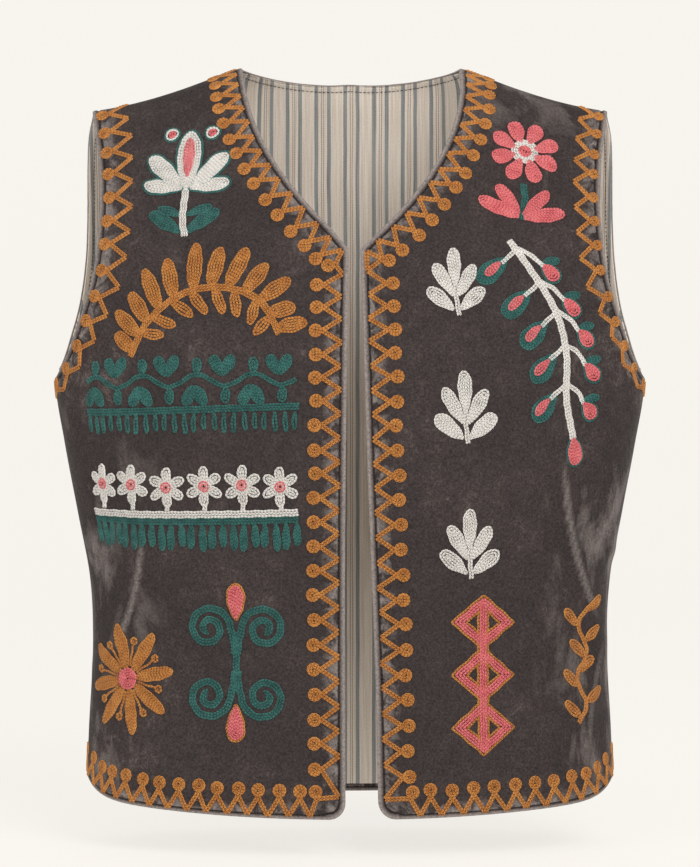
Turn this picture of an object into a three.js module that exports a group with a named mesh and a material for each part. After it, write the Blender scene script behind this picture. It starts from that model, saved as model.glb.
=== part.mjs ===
// An open, sleeveless velvet waistcoat with a striped cotton lining, filled out as it is worn.
// Millimetres, +Z up, +X towards the wearer's left side, -Y towards the front.
// The origin is midway between the two neck points, on the line where the shoulders carry the garment.
//
// Every piece is cut from one general figure, which is a stack of closed rings. A place on the figure is
// given by its ring w and its turn t. w is -1 at the hem, 0 at the underarm and 1 on the shoulder seam.
// t is 0 at the centre front or centre back and a quarter turn at the side, positive to the wearer's left.
import * as THREE from "three";

// Driving dimensions
const LENGTH = 550; // neck point to hem at the centre front
const UNDERARM_DROP = 232; // neck point to underarm
const VELVET = 1.8; // thickness of the velvet with its pile
const LINING = 1.0; // thickness of the lining
const SEAM_GAP = 0.3; // free space left between neighbouring pieces
const LINING_INSET = 1.2; // the lining stops this far inside a finished edge
const SECTION_POWER = 2.2; // 2 is an ellipse, and a larger power is squarer at the sides
const CHEST_LEAN = 1.6; // how the front of the yoke leans back to the shoulder, as a power like the above
const NAPE_LEAN = 2.2; // the same for the back, which is fuller
const V_RING = 0.375; // the ring where the V neck meets the straight front edges

// Half width of the figure, and its depth before and behind the side seams.
const FIGURE = [
  { w: -1.03, half: 197.6, front: 94, back: 89 },
  { w: -0.83, half: 195.0, front: 91, back: 83 },
  { w: -0.62, half: 191.8, front: 89, back: 77 },
  { w: -0.46, half: 194.6, front: 92, back: 76 },
  { w: -0.31, half: 203.2, front: 97, back: 80 },
  { w: -0.15, half: 213.0, front: 101, back: 84 },
  { w: 0, half: 220.0, front: 101, back: 86 },
  { w: 0.4, half: 219.0, front: 99, back: 86 },
  { w: 1, half: 214.0, front: 96, back: 84 },
];

// Height of the shoulder seam over the distance from the centre. The first rows shape the rings inside the neck.
const SHOULDER = [
  { x: 0, z: 14 },
  { x: 40, z: 9 },
  { x: 82, z: 0 },
  { x: 126, z: -15.7 },
  { x: 153, z: -24 },
  { x: 180, z: -30 },
  { x: 230, z: -37 },
];

// How far the front and the back reach outwards at the armhole, ring by ring.
const ARMHOLE = [
  { w: 0, front: 220.0, back: 220.0 },
  { w: 0.03, front: 214.5, back: 219.0 },
  { w: 0.1, front: 207.0, back: 215.0 },
  { w: 0.18, front: 201.0, back: 211.0 },
  { w: 0.26, front: 195.5, back: 207.0 },
  { w: 0.36, front: 189.5, back: 203.5 },
  { w: 0.5, front: 185.5, back: 200.6 },
  { w: 0.65, front: 184.2, back: 199.4 },
  { w: 0.8, front: 186.2, back: 198.8 },
  { w: 0.92, front: 190.0, back: 197.0 },
  { w: 1, front: 192.5, back: 192.5 },
];

// The V neck from its point up to the neck points, as places along X.
const NECKLINE = [
  { w: 0.375, right: -1.0, left: 7.6 },
  { w: 0.45, right: -16.0, left: 25.2 },
  { w: 0.5, right: -27.0, left: 36.2 },
  { w: 0.6, right: -45.5, left: 54.0 },
  { w: 0.7, right: -59.6, left: 67.3 },
  { w: 0.8, right: -69.8, left: 76.2 },
  { w: 0.9, right: -76.4, left: 81.2 },
  { w: 1, right: -80.8, left: 82.0 },
];

// Where the two front edges hang, as places along X.
const FRONT_EDGE = [
  { w: -1, right: -3.2, left: 20.5 },
  { w: -0.69, right: -3.5, left: 18.3 },
  { w: -0.37, right: -3.4, left: 14.4 },
  { w: -0.06, right: -2.4, left: 11.0 },
  { w: 0.375, right: -1.0, left: 7.6 },
];
const HEM_CORNER = { right: 12, left: 13 }; // radius of the round corner where a front edge meets the hem

const BACK_NECK_DROP = 0.085; // the back neck's lowest point, as a part of the ring scale
const HEM_LIFT = { broad: 10, side: 14, sidePower: 20 }; // how the hem rises from the centre to the side seam

// Facets
const FRONT_COLUMNS = 12;
const BACK_COLUMNS = 20;
const SKIRT_ROWS = 9;
const YOKE_ROWS = [0.05, 0.13, 0.24, V_RING, 0.46, 0.57, 0.68, 0.79, 0.88, 0.95, 0.985, 1];
const CORNER_ROWS = [0, 0.12, 0.32, 0.62, 1]; // rows inside the hem corner, as parts of its radius

const SKIRT = LENGTH - UNDERARM_DROP;
const QUARTER = Math.PI / 2;
const clamp = THREE.MathUtils.clamp;
const lerp = THREE.MathUtils.lerp;

// A smooth value from a table: a cubic through its rows, with each row's slope taken from its neighbours.
function smooth(table, key, column, at) {
  const last = table.length - 1;
  const place = clamp(at, table[0][key], table[last][key]);
  let i = 0;
  while (i < last - 1 && table[i + 1][key] < place) i += 1;
  const slope = (k) => {
    const before = table[Math.max(k - 1, 0)];
    const after = table[Math.min(k + 1, last)];
    return (after[column] - before[column]) / (after[key] - before[key]);
  };
  const span = table[i + 1][key] - table[i][key];
  const u = (place - table[i][key]) / span;
  const rise = table[i + 1][column] - table[i][column];
  const a = slope(i) * span - rise;
  const b = rise - slope(i + 1) * span;
  return table[i][column] + u * rise + u * (1 - u) * ((1 - u) * a + u * b);
}

// A superellipse's height over its base, both as parts of the whole.
const arch = (part, power) => Math.pow(Math.max(0, 1 - Math.pow(Math.abs(part), power)), 1 / power);

// The place on the figure at ring w and turn t. side is "front" or "back".
function figurePoint(side, w, t) {
  const part = Math.sin(clamp(t, -QUARTER, QUARTER));
  const x = smooth(FIGURE, "w", "half", w) * part;
  const depth = smooth(FIGURE, "w", side, w) * arch(part, SECTION_POWER);
  const yoke = clamp(w, 0, 1);
  const lean = arch(yoke, side === "front" ? CHEST_LEAN : NAPE_LEAN);
  const shoulder = smooth(SHOULDER, "x", "z", Math.abs(x));
  const z = w < 0 ? w * SKIRT - UNDERARM_DROP : lerp(-UNDERARM_DROP, shoulder, yoke);
  return new THREE.Vector3(x, (side === "front" ? -1 : 1) * depth * lean, z);
}

// The outward direction there, from two short steps along the figure that stay on it. On a seam it lies in
// the seam's own plane, so that the front and the back meet squarely.
function figureNormal(side, w, t) {
  const step = 1e-4;
  const across = figurePoint(side, w, clamp(t + step, -QUARTER, QUARTER)).sub(
    figurePoint(side, w, clamp(t - step, -QUARTER, QUARTER)),
  );
  const up = figurePoint(side, Math.min(w + step, 1), t).sub(figurePoint(side, Math.min(w - step, 1 - step), t));
  const normal = across.cross(up).multiplyScalar(side === "front" ? 1 : -1);
  if (w >= 1 || Math.abs(t) >= QUARTER) normal.setY(0);
  return normal.normalize();
}

// The turn at which ring w lies x away from the centre.
const turnAt = (w, x) => Math.asin(clamp(x / smooth(FIGURE, "w", "half", w), -1, 1));

// The ring that the hem lies on, over the turn.
function hemRing(t) {
  const part = Math.abs(Math.sin(t));
  return -1 + (HEM_LIFT.broad * part ** 2 + HEM_LIFT.side * part ** HEM_LIFT.sidePower) / SKIRT;
}

// The rings that the rows of facets lie on, from the hem up. corner is a hem corner's radius, or 0.
function rowRings(corner) {
  const low = CORNER_ROWS.map((part) => (part * corner) / SKIRT).filter((value, i) => corner > 0 || i === 0);
  const start = low[low.length - 1];
  const rows = [...low];
  for (let i = 1; i <= SKIRT_ROWS; i += 1) rows.push(lerp(start, 1, i / SKIRT_ROWS));
  return [...rows.map((value) => value - 1), ...YOKE_ROWS];
}

// A skirt row is drawn up towards the sides as the hem is, less and less up to the underarm.
const liftedRing = (w, t) => (w < 0 ? w * -hemRing(t) : w);

// How far a front reaches inwards on ring w: the V neck, or the straight edge with its round hem corner.
function frontInnerEdge(side, w) {
  if (w >= V_RING) return smooth(NECKLINE, "w", side, w);
  const sign = side === "right" ? -1 : 1;
  const radius = HEM_CORNER[side];
  const rise = clamp((w + 1) * SKIRT, 0, radius);
  return smooth(FRONT_EDGE, "w", side, w) + sign * (radius - Math.sqrt(radius ** 2 - (radius - rise) ** 2));
}

// The grid of places (w, t) of one front, from its front edge out to the side seam and armhole.
function frontGrid(side) {
  const sign = side === "right" ? -1 : 1;
  return rowRings(HEM_CORNER[side]).map((w) => {
    const inner = turnAt(w, frontInnerEdge(side, w));
    const reach = w > 0 ? smooth(ARMHOLE, "w", "front", w) : Infinity;
    const outer = sign * turnAt(w, reach);
    const places = [];
    for (let i = 0; i <= FRONT_COLUMNS; i += 1) {
      const t = lerp(inner, outer, i / FRONT_COLUMNS);
      places.push({ w: liftedRing(w, t), t, finished: i === 0 || (i === FRONT_COLUMNS && w > 0) });
    }
    return places;
  });
}

// The grid of the back. Its top row follows the shoulder seams and dips between them along the back neck.
function backGrid() {
  const neckPoint = NECKLINE[NECKLINE.length - 1];
  const half = BACK_COLUMNS / 2;
  const neckColumns = Math.round(BACK_COLUMNS / 5);
  return rowRings(0).map((w) => {
    const edge = turnAt(w, w > 0 ? smooth(ARMHOLE, "w", "back", w) : Infinity);
    const places = [];
    for (let i = -half; i <= half; i += 1) {
      const sign = i < 0 ? -1 : 1;
      const part = Math.abs(i) / neckColumns;
      const neckTurn = turnAt(1, i < 0 ? neckPoint.right : neckPoint.left);
      const beyond = (Math.abs(i) - neckColumns) / (half - neckColumns);
      const t = part <= 1 ? neckTurn * part : lerp(neckTurn, sign * edge, beyond);
      const hollow = part < 1 && w > 0 ? BACK_NECK_DROP * (1 - part ** 2) : 0;
      places.push({ w: liftedRing(w, t) * (1 - hollow), t, finished: Math.abs(i) === half && w > 0 });
    }
    return places;
  });
}

// The points of a grid at a depth under the figure's surface. Seams stay half a gap short of the join.
function layerPoints(side, grid, depth) {
  const nudge = new THREE.Vector3(0, ((side === "front" ? -1 : 1) * SEAM_GAP) / 2, 0);
  const sink = ({ w, t }) => figurePoint(side, w, t).addScaledVector(figureNormal(side, w, t), -depth).add(nudge);
  return grid.map((row) => row.map(sink));
}

// Draws the finished edges of a layer in by an inset, along the facets they belong to.
function drawIn(grid, points, inset) {
  const last = points[0].length - 1;
  const top = points.length - 1;
  const towards = (point, other) => point.lerp(other, Math.min(0.5, inset / point.distanceTo(other)));
  points.forEach((row, r) => {
    if (grid[r][0].finished) towards(row[0], row[1]);
    if (grid[r][last].finished) towards(row[last], row[last - 1]);
  });
  points[0].forEach((point, c) => towards(point, points[1][c]));
  points[top].forEach((point, c) => {
    if (grid[top][c].w < 1) towards(point, points[top - 1][c]);
  });
  return points;
}

// A closed wall over a grid of places, from depth near to depth far under the figure's surface.
function clothWall(side, grid, near, far, inset) {
  const rows = grid.length;
  const columns = grid[0].length;
  const layers = [near, far].map((depth) => drawIn(grid, layerPoints(side, grid, depth), inset));
  const positions = layers.flat(2).flatMap((point) => [point.x, point.y, point.z]);
  const layer = rows * columns;
  const index = [];
  const flip = (side === "back") !== grid[0][columns - 1].t < grid[0][0].t;
  const quad = (a, b, c, d) => {
    if (flip) index.push(a, c, b, a, d, c);
    else index.push(a, b, c, a, c, d);
  };
  for (let r = 0; r < rows - 1; r += 1) {
    for (let c = 0; c < columns - 1; c += 1) {
      const a = r * columns + c;
      const above = a + columns;
      quad(a, a + 1, above + 1, above);
      quad(layer + a, layer + above, layer + above + 1, layer + a + 1);
    }
  }
  for (let c = 0; c < columns - 1; c += 1) {
    const top = (rows - 1) * columns + c;
    quad(c, layer + c, layer + c + 1, c + 1);
    quad(top, top + 1, layer + top + 1, layer + top);
  }
  for (let r = 0; r < rows - 1; r += 1) {
    const first = r * columns;
    const last = first + columns - 1;
    quad(first, first + columns, layer + first + columns, layer + first);
    quad(last, layer + last, layer + last + columns, last + columns);
  }
  const geometry = new THREE.BufferGeometry();
  geometry.setAttribute("position", new THREE.Float32BufferAttribute(positions, 3));
  geometry.setIndex(index);
  geometry.computeVertexNormals();
  return geometry;
}

const velvet = new THREE.MeshStandardMaterial({ color: 0x3e3635, roughness: 0.95, metalness: 0 });
const cotton = new THREE.MeshStandardMaterial({ color: 0xc9bcab, roughness: 0.9, metalness: 0 });

const garment = new THREE.Group();
function addPiece(name, geometry, material) {
  const piece = new THREE.Mesh(geometry, material);
  piece.name = name;
  garment.add(piece);
}

// A velvet piece and the lining piece behind it share one grid, so the gap between them stays even.
function addLinedPiece(name, side, grid) {
  const inside = VELVET + SEAM_GAP;
  addPiece(name, clothWall(side, grid, 0, VELVET, 0), velvet);
  addPiece(`lining_${name}`, clothWall(side, grid, inside, inside + LINING, LINING_INSET), cotton);
}

addLinedPiece("front_right", "front", frontGrid("right"));
addLinedPiece("front_left", "front", frontGrid("left"));
addLinedPiece("back", "back", backGrid());

export default garment;
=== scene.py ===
import math

import bpy
import numpy as np
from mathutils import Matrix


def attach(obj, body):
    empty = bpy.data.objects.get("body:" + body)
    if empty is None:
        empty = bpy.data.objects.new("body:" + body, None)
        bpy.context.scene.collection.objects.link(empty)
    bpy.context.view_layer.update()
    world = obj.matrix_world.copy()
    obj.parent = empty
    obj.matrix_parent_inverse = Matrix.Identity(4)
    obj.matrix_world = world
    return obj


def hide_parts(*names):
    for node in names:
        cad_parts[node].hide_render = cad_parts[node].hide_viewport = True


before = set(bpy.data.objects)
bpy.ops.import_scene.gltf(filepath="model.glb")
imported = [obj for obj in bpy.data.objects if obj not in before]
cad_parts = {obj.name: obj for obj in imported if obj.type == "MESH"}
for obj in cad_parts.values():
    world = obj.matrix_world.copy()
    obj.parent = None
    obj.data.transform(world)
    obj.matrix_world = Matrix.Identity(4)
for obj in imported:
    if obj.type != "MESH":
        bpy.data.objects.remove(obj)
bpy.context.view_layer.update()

MM = 0.001
QUARTER_TURN = math.pi / 2

# ---- The two velvet fronts -------------------------------------------------------------------------------
# Two fronts cut from dark grey-brown cotton velvet, each with a V neck, a straight front edge, a round hem
# corner and a deep armhole. They are turned in at every finished edge and sewn to the back at shoulder and side.
# The worn shape is a stack of rings. w is -1 at the hem, 0 at the underarm and 1 on the shoulder seam, and t is
# the turn from the centre front or centre back round to the side. Sizes in the tables are in millimetres.
SKIRT = 318.0
UNDERARM = 232.0
RINGS = np.array([-1.03, -0.83, -0.62, -0.46, -0.31, -0.15, 0, 0.4, 1])
HALF_WIDTH = np.array([197.6, 195.0, 191.8, 194.6, 203.2, 213.0, 220.0, 219.0, 214.0])
FRONT_DEPTH = np.array([94, 91, 89, 92, 97, 101, 101, 99, 96.0])
BACK_DEPTH = np.array([89, 83, 77, 76, 80, 84, 86, 86, 84.0])
SHOULDER_X = np.array([0, 40, 82, 126, 153, 180, 230.0])
SHOULDER_Z = np.array([14, 9, 0, -15.7, -24, -30, -37.0])
SECTION_POWER = 2.2
LEAN = {"front": 1.6, "back": 2.2}


def through(xs, ys, at):
    """A smooth value from a table: a cubic between rows, each row's slope being that of its two neighbours."""
    at = np.clip(at, xs[0], xs[-1])
    i = np.clip(np.searchsorted(xs, at, side="right") - 1, 0, len(xs) - 2)
    slope = np.concatenate((
        [(ys[1] - ys[0]) / (xs[1] - xs[0])],
        (ys[2:] - ys[:-2]) / (xs[2:] - xs[:-2]),
        [(ys[-1] - ys[-2]) / (xs[-1] - xs[-2])]))
    span = xs[i + 1] - xs[i]
    u = (at - xs[i]) / span
    rise = ys[i + 1] - ys[i]
    a = slope[i] * span - rise
    b = rise - slope[i + 1] * span
    return ys[i] + u * rise + u * (1 - u) * ((1 - u) * a + u * b)


def arch(part, power):
    """A superellipse's height over its base: the power-th root of one less the part to that power."""
    return np.maximum(0.0, 1 - np.abs(part) ** power) ** (1 / power)


def ring_of(h):
    """Ring w at height h. Above the underarm h runs faster near the shoulder, so that steps stay even."""
    return np.where(h < 0, h, 1 - (1 - np.clip(h, 0, 1)) ** 2)


def height_of(w):
    """The height h of ring w, the other way round."""
    return np.where(w < 0, w, 1 - np.sqrt(np.maximum(0.0, 1 - np.clip(w, 0, 1))))


def figure(side, h, t):
    """The bare figure at height h and turn t: superellipse rings that lean back to the shoulder seam."""
    w = ring_of(h)
    part = np.sin(np.clip(t, -QUARTER_TURN, QUARTER_TURN))
    x = through(RINGS, HALF_WIDTH, w) * part
    depth = through(RINGS, FRONT_DEPTH if side == "front" else BACK_DEPTH, w) * arch(part, SECTION_POWER)
    yoke = np.clip(w, 0, 1)
    seam = through(SHOULDER_X, SHOULDER_Z, np.abs(x))
    z = np.where(w < 0, w * SKIRT - UNDERARM, -UNDERARM + (seam + UNDERARM) * yoke)
    y = (-1 if side == "front" else 1) * depth * arch(yoke, LEAN[side])
    return np.stack(np.broadcast_arrays(x, y, z), axis=-1)


# The main creases, as soft troughs (negative) and ridges, each from one end to the other as x and z.
CREASES = {
    "front": [
        # x0, z0, x1, z1, half width, height
        (-173, -434, -151, -346, 4.5, 2.5),
        (-190, -402, -164, -322, 8, -2.0),
        (-188, -452, -166, -390, 6, 1.7),
        (-176, -478, -120, -414, 10, -1.6),
        (-198, -300, -176, -336, 6, 1.3),
        (-150, -252, -96, -330, 17, -1.3),
        (-128, -58, -96, -100, 7, -1.6),
        (-106, -30, -118, -80, 5, 1.5),
        (-92, -24, -84, -66, 7, -1.2),
        (-60, -330, -48, -500, 20, 1.2),
        (-100, -360, -92, -470, 16, -1.0),
        (155, -292, 184, -412, 5, 2.5),
        (144, -320, 166, -440, 8, -1.8),
        (174, -290, 196, -420, 6, -1.5),
        (192, -306, 198, -372, 4, 2.0),
        (190, -420, 176, -530, 5, 1.9),
        (150, -330, 160, -500, 9, 1.4),
        (140, -250, 172, -330, 11, -1.7),
        (196, -196, 178, -262, 5, 1.5),
        (122, -48, 98, -112, 7, -1.7),
        (152, -52, 142, -104, 5, 1.6),
        (74, -56, 92, -112, 7, 1.2),
        (60, -340, 72, -500, 21, -1.2),
        (112, -300, 118, -400, 17, 1.1),
    ],
    "back": [
        (-186, -300, -168, -440, 9, -2.2),
        (-164, -322, -150, -470, 12, 1.6),
        (-120, -330, -96, -430, 18, -1.8),
        (184, -310, 168, -452, 8, -2.3),
        (158, -300, 146, -420, 12, 1.7),
        (110, -340, 84, -452, 17, -1.6),
        (-40, -350, -8, -520, 24, 1.6),
        (36, -372, 52, -530, 20, -1.5),
        (-150, -70, -96, -150, 14, -1.6),
        (146, -76, 104, -160, 13, -1.5),
        (-60, -24, 58, -28, 12, -1.0),
        (-104, -210, -20, -236, 16, 1.1),
        (24, -226, 112, -206, 15, 1.0),
    ],
}


def crease_bells(side, x, z, narrow=1.0):
    """Each crease's height and its bell: one across it, narrowed as asked, which fades along to both ends."""
    for x0, z0, x1, z1, half, high in CREASES[side]:
        dx, dz = x1 - x0, z1 - z0
        length = math.hypot(dx, dz)
        along = ((x - x0) * dx + (z - z0) * dz) / length
        bend = 0.05 * length * np.sin(math.pi * np.clip(along / length, 0, 1)) * (1 if high > 0 else -1)
        across = ((x - x0) * dz - (z - z0) * dx) / length - bend
        past = np.maximum(0, np.abs(along - length / 2) - length / 4) / (length / 4)
        yield high, np.exp(-((across / (half * narrow)) ** 2) - 1.6 * past ** 2)


def creases(side, x, z):
    """How far the cloth stands off the figure: a slight overall ripple and every crease's bell at its height."""
    ripple = 0.35 * np.sin(x / 23 + 1.3 * np.sin(z / 41)) * np.sin(z / 33 + 0.7 * np.sin(x / 29))
    return ripple + sum(high * bell for high, bell in crease_bells(side, x, z))


def ridge_sheen(side, x, z):
    """How much painted sheen lightens the tops of the sharper ridges."""
    return np.clip(sum(0.3 * max(high - 1.2, 0) * bell for high, bell in crease_bells(side, x, z, 0.5)) * 1.9, 0, 0.6)


def outward(side, h, t):
    """The unit direction out of the figure, across two short steps on it. On a seam it stays in the seam."""
    step = 2e-4
    end = QUARTER_TURN
    across = figure(side, h, np.minimum(t + step, end)) - figure(side, h, np.maximum(t - step, -end))
    up = figure(side, np.minimum(h + step, 1), t) - figure(side, np.minimum(h - step, 1 - step), t)
    n = np.cross(across, up) * (1 if side == "front" else -1)
    n[..., 1] *= (np.abs(t) < end - 1e-6) & (h < 1 - 1e-6)
    return n / np.linalg.norm(n, axis=-1, keepdims=True)


def cloth(side, h, t, lift=0.0):
    """A point of the velvet's face at (h, t), in millimetres: the figure, its creases and a lift along the normal."""
    p = figure(side, h, t)
    seam_calm = np.clip((1 - h) * 8, 0, 1) * np.clip((QUARTER_TURN - np.abs(t)) * 12, 0, 1)
    off = creases(side, p[..., 0], p[..., 2]) * seam_calm + lift
    nudge = np.array([0, -0.03 if side == "front" else 0.03, 0])
    return p + outward(side, h, t) * off[..., None] + nudge


V_RING = 0.375
NECK_W = np.array([0.375, 0.45, 0.5, 0.6, 0.7, 0.8, 0.9, 1])
NECK_X = {
    "right": np.array([-1.0, -16.0, -27.0, -45.5, -59.6, -69.8, -76.4, -80.8]),
    "left": np.array([7.6, 25.2, 36.2, 54.0, 67.3, 76.2, 81.2, 82.0]),
}
EDGE_W = np.array([-1, -0.69, -0.37, -0.06, 0.375])
EDGE_X = {
    "right": np.array([-3.2, -3.5, -3.4, -2.4, -1.0]),
    "left": np.array([20.5, 18.3, 14.4, 11.0, 7.6]),
}
ARMHOLE_W = np.array([0, 0.03, 0.1, 0.18, 0.26, 0.36, 0.5, 0.65, 0.8, 0.92, 1])
ARMHOLE_X = {
    "front": np.array([220.0, 214.5, 207.0, 201.0, 195.5, 189.5, 185.5, 184.2, 186.2, 190.0, 192.5]),
    "back": np.array([220.0, 219.0, 215.0, 211.0, 207.0, 203.5, 200.6, 199.4, 198.8, 197.0, 192.5]),
}
CORNER = {"right": 12.0, "left": 13.0}
SIGN = {"right": -1, "left": 1}


def turn_at(w, x):
    """The turn t at which ring w lies x from the centre."""
    return np.arcsin(np.clip(x / through(RINGS, HALF_WIDTH, w), -1, 1))


NECK_TURNS = [turn_at(np.array(1.0), NECK_X[side][-1]) for side in ("right", "left")]


def lifted(h, t):
    """A skirt ring drawn up towards the side as the hem is, all the way up to the underarm, where it is level."""
    part = np.abs(np.sin(t))
    rise = (10 * part ** 2 + 14 * part ** 20) / SKIRT
    return np.where(h < 0, h * (1 - rise), h)


def inner_turn(side, w):
    """The turn of a front's inner edge on ring w: the V neck, or the straight edge with its round hem corner."""
    radius = CORNER[side]
    rise = np.clip((w + 1) * SKIRT, 0, radius)
    corner = SIGN[side] * (radius - np.sqrt(radius ** 2 - (radius - rise) ** 2))
    x = np.where(w >= V_RING, through(NECK_W, NECK_X[side], w), through(EDGE_W, EDGE_X[side], w) + corner)
    return turn_at(w, x)


def armhole_turn(face, w):
    """The turn of the armhole's edge on ring w, and a quarter turn, the side seam, below the underarm."""
    return np.where(w > 0, turn_at(w, through(ARMHOLE_W, ARMHOLE_X[face], w)), QUARTER_TURN)


def front_place(side, w, across):
    """A place on a front: across runs from 0 on the inner edge to 1 on the side seam or armhole."""
    inner = inner_turn(side, w)
    t = inner + (SIGN[side] * armhole_turn("front", w) - inner) * across
    return lifted(height_of(w), t), t


# Rows close up at a finished edge, to round it over and to sink the topstitching inside it. The hem's distances
# count half as much again, which brings its own stitching down to 3.1 mm from the fold.
STITCHED_IN = 4.6
HEM_STITCHED_IN = 3.1
HEM_COUNTS = 1.5
EDGE_STEPS = np.array([0, 0.2, 0.5, 0.9, 1.5, 2.4, 3.3, 3.9, 4.3, 4.6, 4.9, 5.3, 5.9, 6.8, 8.2])


def steps_between(total, count):
    """Distances from 0 to total: close steps at both finished ends and even ones between."""
    a, b = EDGE_STEPS, total - EDGE_STEPS[::-1]
    middle = np.linspace(a[-1], b[0], count + 2)[1:-1]
    return np.concatenate((a, middle, b))


def made(name, points, faces, material, uv_name=None, uv=None):
    """A smooth mesh object from points in millimetres, with a UV map from a value for each point if named."""
    mesh = bpy.data.meshes.new(name)
    mesh.from_pydata((points.reshape(-1, 3) * MM).tolist(), [], faces)
    mesh.polygons.foreach_set("use_smooth", np.ones(len(mesh.polygons), bool))
    if uv_name:
        corners = np.empty(len(mesh.loops), np.int32)
        mesh.loops.foreach_get("vertex_index", corners)
        mesh.uv_layers.new(name=uv_name).data.foreach_set("uv", uv.reshape(-1, 2)[corners].ravel())
    mesh.materials.append(material)
    piece = bpy.data.objects.new(name, mesh)
    bpy.context.scene.collection.objects.link(piece)
    return piece


def shell(name, front, back, material, flip, uv=None, marks=None):
    """A closed wall between two grids of points in millimetres, with a row of faces round its four sides."""
    rows, columns = front.shape[:2]
    layer = rows * columns
    at = np.arange(layer).reshape(rows, columns)

    def quads(a, b, c, d):
        return np.stack((a, b, c, d), axis=-1).reshape(-1, 4)

    over = quads(at[:-1, :-1], at[:-1, 1:], at[1:, 1:], at[1:, :-1])
    under = over[:, ::-1] + layer
    rim = np.concatenate((at[0, :], at[1:, -1], at[-1, -2::-1], at[-2:0:-1, 0]))
    after = np.roll(rim, -1)
    around = quads(rim, rim + layer, after + layer, after)
    faces = np.concatenate((over, under, around))
    if flip:
        faces = faces[:, ::-1]
    points = np.concatenate((front.reshape(-1, 3), back.reshape(-1, 3)))
    both = None if uv is None else np.concatenate((uv.reshape(-1, 2), uv.reshape(-1, 2)))
    piece = made(name, points, faces.tolist(), material, None if uv is None else "cloth", both)
    for key, values in (marks or {}).items():
        twice = np.concatenate((values.ravel(), values.ravel()))
        piece.data.attributes.new(key, "FLOAT", "POINT").data.foreach_set("value", twice)
    return piece


def distance_to(points, line, hem):
    """Each point's distance to the nearest place on the densely stepped edges, row by row."""
    out = np.empty(points.shape[:-1])
    for i, row in enumerate(points):
        reach, low = (np.sqrt(((row[:, None] - part[None]) ** 2).sum(-1)).min(1) for part in (line, hem))
        out[i] = np.minimum(reach, low * HEM_COUNTS)
    return out


def rounded(away, radius=1.0):
    """How far the face sinks at distance away from a turned edge: a quarter circle of that radius."""
    near = np.clip(radius - away, 0, radius)
    return radius - np.sqrt(radius ** 2 - near ** 2)


def groove(away):
    """The topstitching pulls the pile down into a groove, and the edge swells a little outside it."""
    return -0.8 * np.exp(-(((away - STITCHED_IN) / 0.75) ** 2)) + 0.3 * np.exp(-(((away - 2.4) / 1.2) ** 2))


# Crushed cotton velvet: a soft dark ground whose nap lies in patches and lifts to grey where it is worn, with painted
# sheen on the fold ridges, the sides and the turned rims, and painted shade along the stitched groove.
def nodes_of(name):
    """A new material and its node tree, with the shader node that it starts with."""
    material = bpy.data.materials.new(name)
    material.use_nodes = True
    tree = material.node_tree
    return material, tree, tree.nodes["Principled BSDF"]


def noise(tree, vector, scale, detail, rough=0.55, distort=0.0):
    """A noise texture on the given vector, with its factor as the result."""
    node = tree.nodes.new("ShaderNodeTexNoise")
    node.inputs["Scale"].default_value = scale
    node.inputs["Detail"].default_value = detail
    node.inputs["Roughness"].default_value = rough
    node.inputs["Distortion"].default_value = distort
    tree.links.new(vector, node.inputs["Vector"])
    return node.outputs["Fac"]


def graded(tree, value, *stops):
    """A colour ramp over the value. Each stop is a place and its linear colour."""
    ramp = tree.nodes.new("ShaderNodeValToRGB")
    elements = ramp.color_ramp.elements
    for i, (place, colour) in enumerate(stops):
        element = elements[i] if i < 2 else elements.new(place)
        element.position = place
        element.color = (*colour, 1)
    tree.links.new(value, ramp.inputs["Fac"])
    return ramp.outputs["Color"]


def mixed(tree, kind, amount, a, b):
    """Two colours blended. amount, a and b are each a socket or a plain value."""
    node = tree.nodes.new("ShaderNodeMix")
    node.data_type = "RGBA"
    node.blend_type = kind
    node.clamp_factor = True
    for socket, value in ((node.inputs["Factor"], amount), (node.inputs["A"], a), (node.inputs["B"], b)):
        if isinstance(value, bpy.types.NodeSocket):
            tree.links.new(value, socket)
        elif isinstance(value, tuple):
            socket.default_value = (*value, 1)
        else:
            socket.default_value = value
    return node.outputs["Result"]


def sums(tree, kind, a, b=None, c=None):
    """A math node. a, b and c are each a socket or a number."""
    node = tree.nodes.new("ShaderNodeMath")
    node.operation = kind
    for socket, value in zip(node.inputs, (a, b, c)):
        if isinstance(value, bpy.types.NodeSocket):
            tree.links.new(value, socket)
        elif value is not None:
            socket.default_value = value
    return node.outputs[0]


def times(tree, a, b):
    """The product of two sockets or numbers."""
    return sums(tree, "MULTIPLY", a, b)


def bumped(tree, shader, height, distance, strength):
    """A bump over the given height on the shader's normal."""
    node = tree.nodes.new("ShaderNodeBump")
    node.inputs["Strength"].default_value = strength
    node.inputs["Distance"].default_value = distance
    tree.links.new(height, node.inputs["Height"])
    tree.links.new(node.outputs["Normal"], shader.inputs["Normal"])


def linear(r, g, b):
    """A colour given as 0 to 255 on a screen, as linear light."""
    c = np.array((r, g, b)) / 255
    return tuple(float(v) for v in np.where(c <= 0.04045, c / 12.92, ((c + 0.055) / 1.055) ** 2.4))


def marked(tree, key):
    """The value of one of the mesh's own attributes."""
    node = tree.nodes.new("ShaderNodeAttribute")
    node.attribute_name = key
    return node.outputs["Fac"]


def levels(tree, value, *stops):
    """A ramp of plain levels over the value. Each stop is a place and its level."""
    return graded(tree, value, *((place, (level,) * 3) for place, level in stops))


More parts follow.
